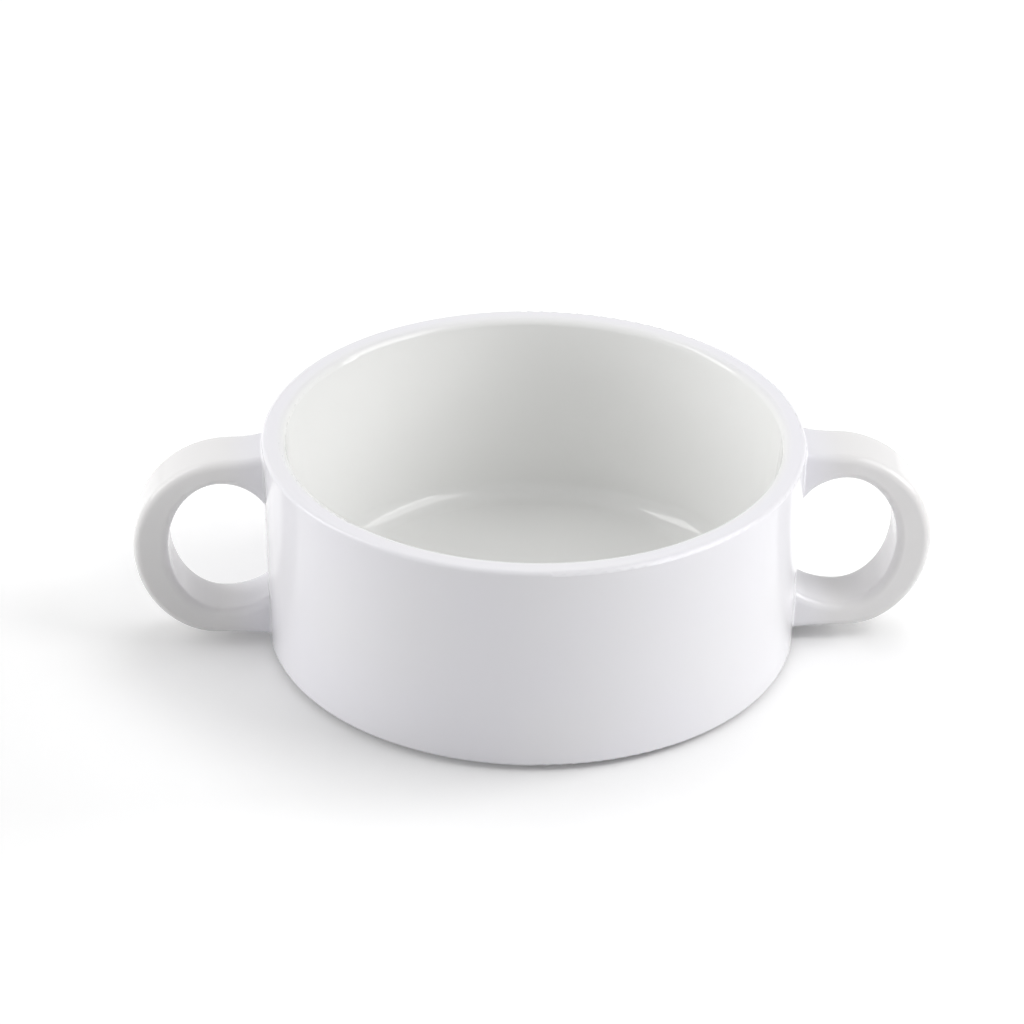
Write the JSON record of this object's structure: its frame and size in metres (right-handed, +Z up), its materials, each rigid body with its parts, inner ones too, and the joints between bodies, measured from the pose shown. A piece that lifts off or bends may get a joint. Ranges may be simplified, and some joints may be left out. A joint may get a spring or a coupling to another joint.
{
  "type": "lug soup bowl",
  "caption": "Low straight-sided porcelain soup bowl with upright loop handles on opposite sides.",
  "frame": {"origin": "centre of the foot ring's sole, on the table", "axes": "+X along the handles, through the right one; +Y to the back; +Z up, along the bowl's own axis"},
  "size_m": [0.1774, 0.12, 0.05],
  "materials": {
    "glazed_porcelain": "clear gloss glaze over white porcelain"
  },
  "bodies": {
    "root": {"bowl_body": "glazed_porcelain", "right_handle": "glazed_porcelain", "left_handle": "glazed_porcelain", "right_upper_slip_joint": "glazed_porcelain", "right_lower_slip_joint": "glazed_porcelain", "left_upper_slip_joint": "glazed_porcelain", "left_lower_slip_joint": "glazed_porcelain"}
  },
  "joints": []
}
